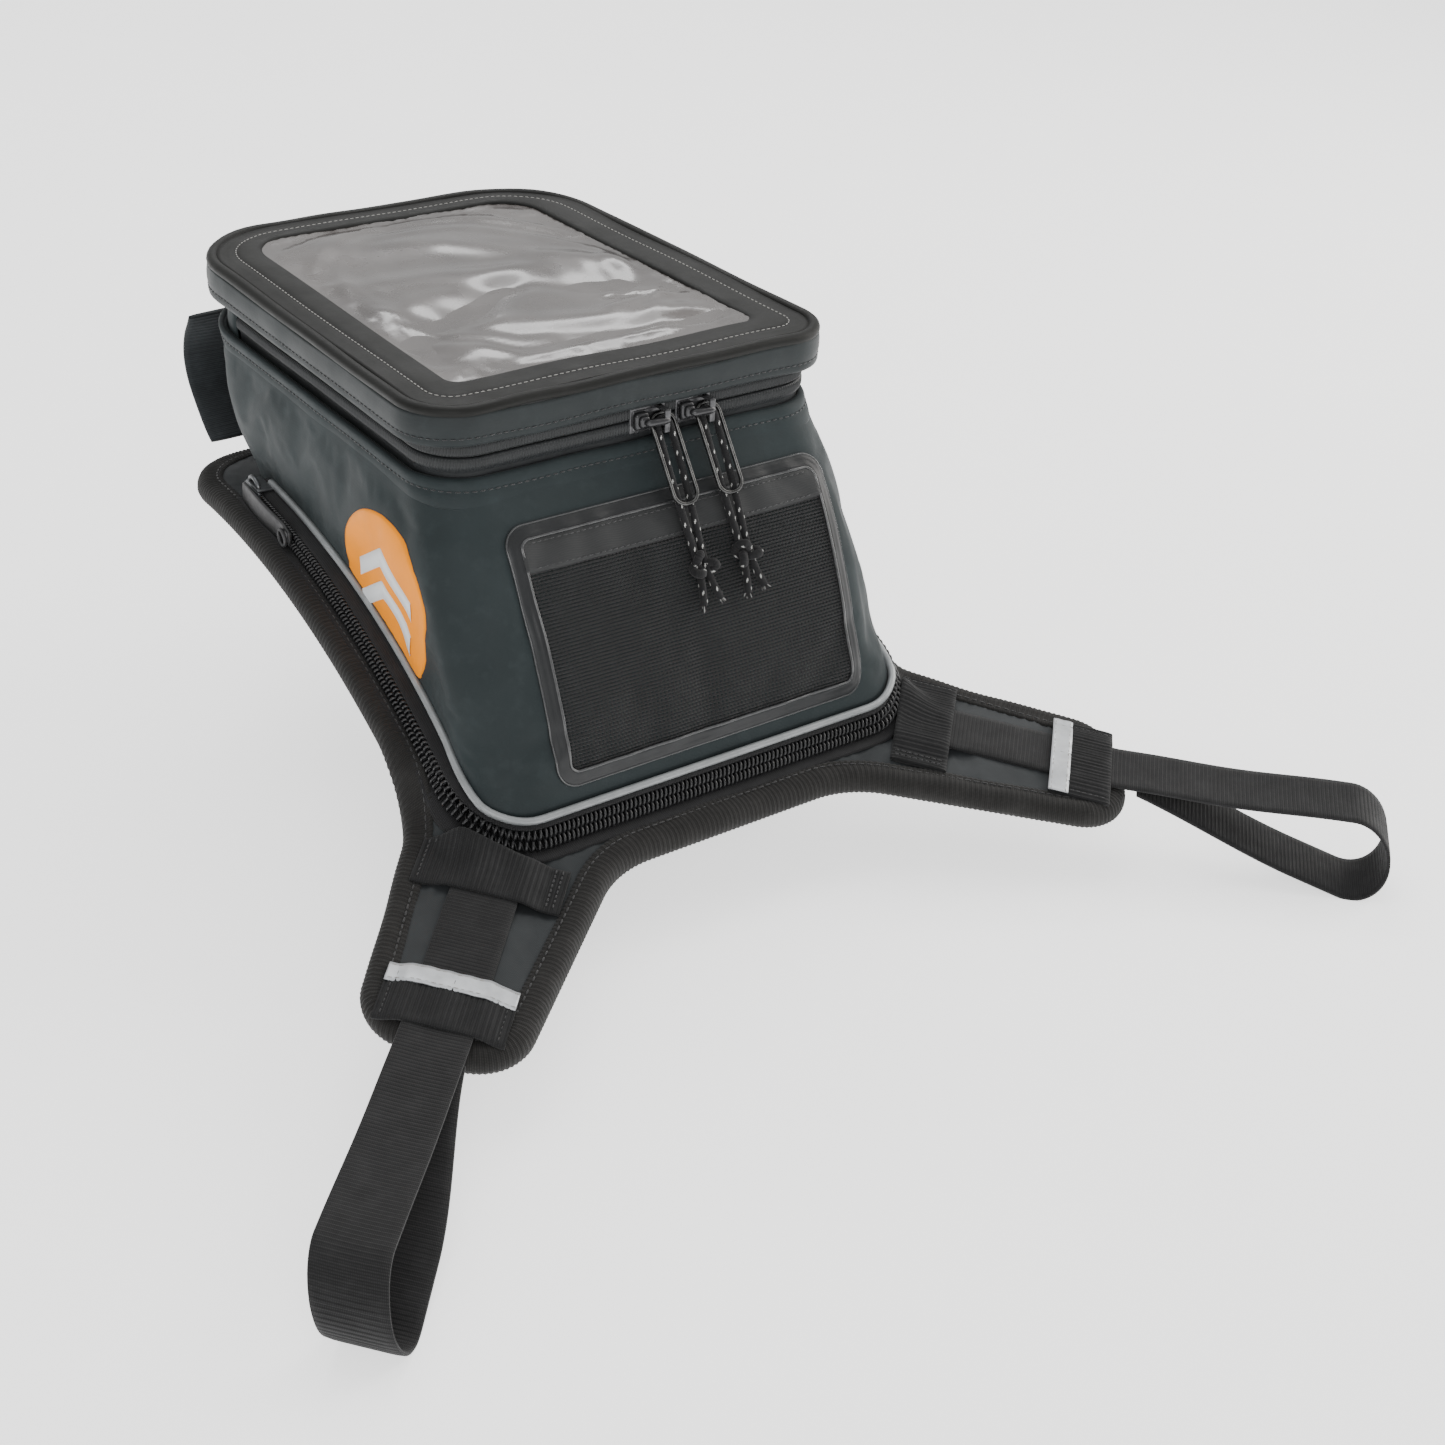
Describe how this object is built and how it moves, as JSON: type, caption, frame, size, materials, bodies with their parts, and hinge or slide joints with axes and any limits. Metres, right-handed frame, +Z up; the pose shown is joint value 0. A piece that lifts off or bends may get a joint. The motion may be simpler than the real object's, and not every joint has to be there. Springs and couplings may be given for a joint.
{
  "type": "motorcycle tank bag",
  "caption": "Small tapered tank bag with a zipped map-window lid, rear mesh pocket and zip-off padded harness with strap arms",
  "frame": {"origin": "underside of the harness pad on the centre plane, where it lies on the tank", "axes": "+X the rider's right, +Y forward, +Z up"},
  "size_m": [0.4964, 0.433, 0.1997],
  "materials": {
    "coated_fabric": "satin coated tarpaulin, welded seams",
    "frame_vinyl": "satin welded vinyl with a fine grain",
    "window_film": "clear vinyl film over a dark panel",
    "zip_film": "water-resistant film over zipper tape",
    "zip_tape": "woven polyester zipper tape",
    "zip_coil": "nylon coil",
    "webbing": "woven polypropylene webbing",
    "binding_tape": "grosgrain binding tape, ribbed",
    "pad_fabric": "coated nylon over closed-cell foam",
    "grip_rubber": "non-slip rubberised mesh",
    "stiffener": "fabric-covered plastic board",
    "reflective": "retro-reflective tape and piping",
    "mesh": "knitted mesh",
    "mesh_band": "hemmed stretch fabric",
    "emblem": "printed weld-on patch, orange and white",
    "slider_metal": "black lacquered zinc",
    "wire_steel": "nickel-plated steel wire",
    "cord": "braided cord with pale flecks",
    "pull_rubber": "moulded rubberised tab"
  },
  "bodies": {
    "harness": {"pad_grip_layer": "grip_rubber", "pad_core": "pad_fabric", "pad_binding": "binding_tape", "pad_binding_rear": "binding_tape", "anchor_web_left": "webbing", "anchor_web_right": "webbing", "inner_keeper_left": "webbing", "inner_keeper_right": "webbing", "outer_keeper_left": "webbing", "outer_keeper_right": "webbing", "reflective_strip_left": "reflective", "reflective_strip_right": "reflective", "base_zip_lower_tape": "zip_tape", "base_zip_lower_coil": "zip_coil"},
    "bag": {"body_rear_panel": "coated_fabric", "body_front_panel": "coated_fabric", "body_side_panel_left": "coated_fabric", "body_side_panel_right": "coated_fabric", "base_board": "stiffener", "rim_binding": "coated_fabric", "lower_lid_tape": "zip_film", "lower_hinge_panel": "coated_fabric", "lower_lid_coil": "zip_coil", "base_zip_upper_tape": "zip_tape", "base_zip_upper_coil": "zip_coil", "reflective_piping": "reflective", "pocket_frame": "frame_vinyl", "pocket_mesh": "mesh", "pocket_top_band": "mesh_band", "side_emblem_left": "emblem", "side_emblem_right": "emblem", "front_band_left": "webbing", "front_band_right": "webbing"},
    "lid": {"lid_wall": "coated_fabric", "lid_panel": "stiffener", "lid_edge_bead": "frame_vinyl", "lid_frame": "frame_vinyl", "map_window": "window_film", "upper_lid_tape": "zip_film", "upper_lid_coil": "zip_coil", "upper_hinge_panel": "coated_fabric"},
    "lid_slider_left": {"lid_slider_left": "slider_metal"},
    "lid_slider_right": {"lid_slider_right": "slider_metal"},
    "pull_left": {"wire_loop_left": "wire_steel", "pull_cord_left": "cord", "cord_knot_left": "cord"},
    "pull_right": {"wire_loop_right": "wire_steel", "pull_cord_right": "cord", "cord_knot_right": "cord"},
    "base_slider": {"base_slider": "slider_metal"},
    "base_pull": {"base_pull_tab": "pull_rubber"},
    "strap_left": {"side_strap_left": "webbing"},
    "strap_right": {"side_strap_right": "webbing"}
  },
  "joints": [
    {"name": "bag_tilt", "type": "hinge", "parent": "harness", "child": "bag", "pos_m": [0, 0.136, 0.0172], "axis": [-1, 0, 0], "range_deg": [0, 60]},
    {"name": "lid_hinge", "type": "hinge", "parent": "bag", "child": "lid", "pos_m": [0, 0.1513, 0.091], "axis": [-1, 0, 0], "range_deg": [0, 100]},
    {"name": "lid_slider_left_travel", "type": "slide", "parent": "bag", "child": "lid_slider_left", "axis": [-1, 0, 0], "range_m": [0, 0.06]},
    {"name": "lid_slider_right_travel", "type": "slide", "parent": "bag", "child": "lid_slider_right", "axis": [1, 0, 0], "range_m": [0, 0.033]},
    {"name": "pull_left_swing", "type": "hinge", "parent": "lid_slider_left", "child": "pull_left", "pos_m": [0.008, -0.0587, 0.0926], "axis": [-1, 0, 0], "range_deg": [0, 60]},
    {"name": "pull_right_swing", "type": "hinge", "parent": "lid_slider_right", "child": "pull_right", "pos_m": [0.029, -0.0587, 0.0926], "axis": [-1, 0, 0], "range_deg": [0, 60]},
    {"name": "base_slider_travel", "type": "hinge", "parent": "harness", "child": "base_slider", "pos_m": [-0.08804, 0.09, -0.35683], "axis": [0.9976, -0.0689, 0], "range_deg": [0, 19]},
    {"name": "base_tab_swing", "type": "hinge", "parent": "base_slider", "child": "base_pull", "pos_m": [-0.09683, 0.0861, 0.02516], "axis": [0, 0, -1], "range_deg": [0, 100]},
    {"name": "strap_right_swing", "type": "hinge", "parent": "harness", "child": "strap_right", "pos_m": [0.16652, -0.18647, -0.05448], "axis": [0.7207, 0.681, 0.1299], "range_deg": [-35, 40]},
    {"name": "strap_left_swing", "type": "hinge", "parent": "harness", "child": "strap_left", "pos_m": [-0.16652, -0.18647, -0.05448], "axis": [0.7207, -0.681, -0.1299], "range_deg": [-35, 40]}
  ]
}
